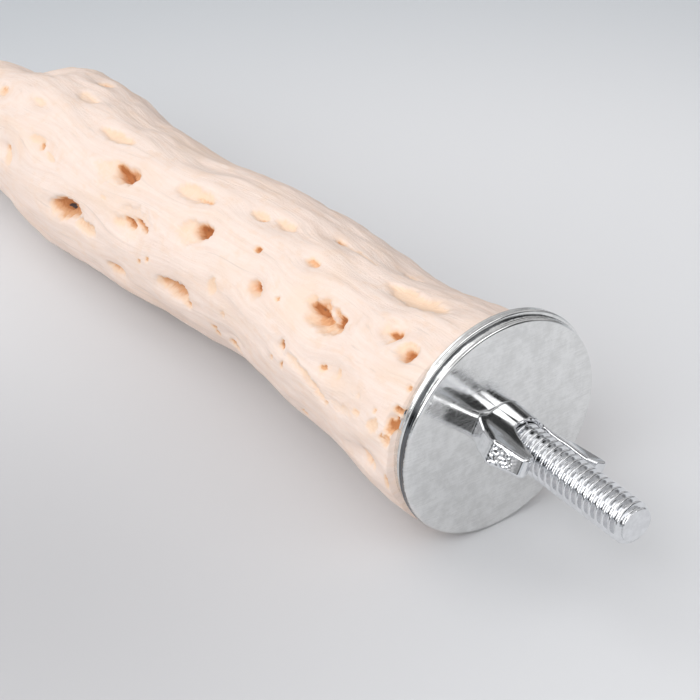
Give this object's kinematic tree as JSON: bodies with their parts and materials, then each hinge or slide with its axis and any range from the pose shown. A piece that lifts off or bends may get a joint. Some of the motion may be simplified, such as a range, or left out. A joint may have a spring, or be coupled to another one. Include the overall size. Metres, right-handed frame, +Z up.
{
  "type": "bird perch",
  "caption": "Short pitted natural-wood perch with a bolt in one end; cage wires are clamped between two large washers by a wing nut.",
  "frame": {"origin": "on the bolt's axis, in the plane where the two washers meet and the cage wires are clamped", "axes": "+X along the bolt, out of the wood and through the cage wall; +Z up as the perch lies in the picture; +Y to the left of someone looking along +X"},
  "size_m": [0.1821, 0.0384, 0.0356],
  "materials": {
    "bleached_wood": "peeled, bleached and sanded, bare",
    "bolt_steel": "bright zinc plated rolled thread",
    "washer_steel": "zinc plated sheet with a sheared edge",
    "nut_steel": "bright zinc plated, cold forged"
  },
  "bodies": {
    "perch": {"perch_stick": "bleached_wood", "hanger_bolt": "bolt_steel"},
    "inner_washer": {"inner_washer": "washer_steel"},
    "outer_washer": {"outer_washer": "washer_steel"},
    "wing_nut": {"wing_nut": "nut_steel"}
  },
  "joints": [
    {"name": "inner_washer_spin", "type": "hinge", "parent": "perch", "child": "inner_washer", "pos_m": [0, 0, 0.00034], "axis": [1, 0, 0], "continuous": true},
    {"name": "washer_slide", "type": "slide", "parent": "perch", "child": "outer_washer", "axis": [1, 0, 0], "range_m": [0, 0.0216]},
    {"name": "nut_turn", "type": "hinge", "parent": "outer_washer", "child": "wing_nut", "pos_m": [0, 0, 0], "axis": [1, 0, 0], "range_deg": [0, 6120]}
  ],
  "couplings": [
    {"joint": "washer_slide", "follows": "nut_turn", "m_per_rad": 0.00020213}
  ]
}
